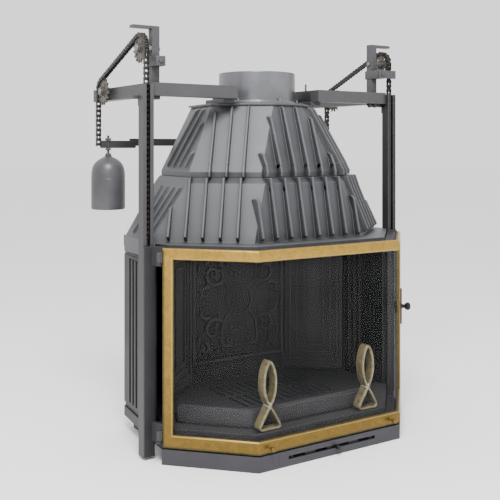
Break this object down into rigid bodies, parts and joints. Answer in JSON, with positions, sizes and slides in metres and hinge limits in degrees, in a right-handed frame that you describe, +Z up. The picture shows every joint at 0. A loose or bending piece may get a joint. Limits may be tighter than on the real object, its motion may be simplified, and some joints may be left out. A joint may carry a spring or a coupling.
{
  "type": "fireplace insert",
  "caption": "Prismatic cast-iron fireplace insert with a brass-framed three-facet glass door that lifts on chains against counterweights behind the hood.",
  "frame": {"origin": "on the floor under the base, straight below the axis of the flue collar", "axes": "+Z up along the flue, -Y towards the front glass, +X to the right as seen from the back (the latch end)"},
  "size_m": [0.8282, 0.609, 1.0363],
  "materials": {
    "base_iron": "satin stove black with a grey cast",
    "hearth_iron": "matt black",
    "pan_steel": "brushed",
    "andiron_enamel": "satin champagne",
    "lining_iron": "matt black",
    "casing_iron": "satin grey",
    "hood_iron": "satin blue-grey",
    "fixing_steel": "plain",
    "frame_steel": "satin grey",
    "chain_steel": "oiled dark steel",
    "carrier_black": "matt black",
    "door_brass": "satin brass",
    "door_glass": "clear ceramic glass",
    "weight_iron": "satin grey",
    "sprocket_steel": "plain steel with a brown cast"
  },
  "bodies": {
    "insert": {"base_tray": "base_iron", "air_register_panel": "base_iron", "hearth_sole": "hearth_iron", "hearth_floor": "hearth_iron", "fire_grate": "hearth_iron", "ash_pan": "pan_steel", "log_guard": "hearth_iron", "andiron_left": "andiron_enamel", "andiron_right": "andiron_enamel", "fireback": "lining_iron", "corner_lining_left": "lining_iron", "corner_lining_right": "lining_iron", "side_lining_left": "lining_iron", "side_lining_right": "lining_iron", "back_casing": "casing_iron", "side_casing_left": "casing_iron", "side_casing_right": "casing_iron", "hood_lower": "hood_iron", "hood_upper": "hood_iron", "flue_collar": "hood_iron", "hood_studs": "fixing_steel", "column_left": "frame_steel", "column_right": "frame_steel", "column_bracket_left": "frame_steel", "column_bracket_right": "frame_steel", "cross_arm_left": "frame_steel", "cross_arm_right": "frame_steel", "rear_arm_left": "frame_steel", "rear_arm_right": "frame_steel", "post_left": "frame_steel", "post_right": "frame_steel", "guide_block_left": "frame_steel", "guide_block_right": "frame_steel", "sprocket_axles": "fixing_steel", "chain_front_left": "chain_steel", "chain_front_right": "chain_steel", "chain_upper_left": "chain_steel", "chain_upper_right": "chain_steel", "chain_rear_left": "chain_steel", "chain_rear_right": "chain_steel"},
    "air_slide": {"air_slider": "base_iron"},
    "carriage": {"door_carrier": "carrier_black", "slide_bar_left": "frame_steel", "slide_bar_right": "frame_steel", "latch_keeper": "frame_steel", "hinge_pins": "fixing_steel"},
    "door": {"door_frame": "door_brass", "glass_left": "door_glass", "glass_front": "door_glass", "glass_right": "door_glass", "door_knobs": "door_brass", "handle_plate": "carrier_black"},
    "latch": {"door_handle": "carrier_black"},
    "weights": {"counterweight_beam": "carrier_black", "counterweight_left": "weight_iron", "counterweight_right": "weight_iron"},
    "wheel_top_left": {"sprocket_top_left": "sprocket_steel"},
    "wheel_top_right": {"sprocket_top_right": "sprocket_steel"},
    "wheel_rear_left": {"sprocket_rear_left": "sprocket_steel"},
    "wheel_rear_right": {"sprocket_rear_right": "sprocket_steel"}
  },
  "joints": [
    {"name": "door_lift", "type": "slide", "parent": "insert", "child": "carriage", "axis": [0, 0, 1], "range_m": [0, 0.381], "deforming": ["chain_front_left", "chain_front_right", "chain_upper_left", "chain_upper_right", "chain_rear_left", "chain_rear_right"]},
    {"name": "door_hinge", "type": "hinge", "parent": "carriage", "child": "door", "pos_m": [-0.37727, -0.15575, 0.27], "axis": [0, 0, -1], "range_deg": [0, 90]},
    {"name": "handle_turn", "type": "hinge", "parent": "door", "child": "latch", "pos_m": [0.36782, -0.17297, 0.29677], "axis": [0.7254, -0.6884, 0], "range_deg": [0, 90]},
    {"name": "weight_drop", "type": "slide", "parent": "insert", "child": "weights", "axis": [0, 0, -1], "range_m": [0, 0.381]},
    {"name": "wheel_top_left_spin", "type": "hinge", "parent": "insert", "child": "wheel_top_left", "pos_m": [-0.38609, -0.07244, 0.98134], "axis": [1, 0, 0], "range_deg": [-676, 1]},
    {"name": "wheel_top_right_spin", "type": "hinge", "parent": "insert", "child": "wheel_top_right", "pos_m": [0.38609, -0.07244, 0.98134], "axis": [1, 0, 0], "range_deg": [-676, 1]},
    {"name": "wheel_rear_left_spin", "type": "hinge", "parent": "insert", "child": "wheel_rear_left", "pos_m": [-0.38609, 0.15049, 0.889], "axis": [1, 0, 0], "range_deg": [-676, 1]},
    {"name": "wheel_rear_right_spin", "type": "hinge", "parent": "insert", "child": "wheel_rear_right", "pos_m": [0.38609, 0.15049, 0.889], "axis": [1, 0, 0], "range_deg": [-676, 1]},
    {"name": "air_slide", "type": "slide", "parent": "insert", "child": "air_slide", "axis": [1, 0, 0], "range_m": [0, 0.033]}
  ],
  "couplings": [
    {"joint": "weight_drop", "follows": "door_lift", "ratio": 1},
    {"joint": "wheel_top_left_spin", "follows": "door_lift", "rad_per_m": -30.921},
    {"joint": "wheel_top_right_spin", "follows": "door_lift", "rad_per_m": -30.921},
    {"joint": "wheel_rear_left_spin", "follows": "door_lift", "rad_per_m": -30.921},
    {"joint": "wheel_rear_right_spin", "follows": "door_lift", "rad_per_m": -30.921}
  ]
}
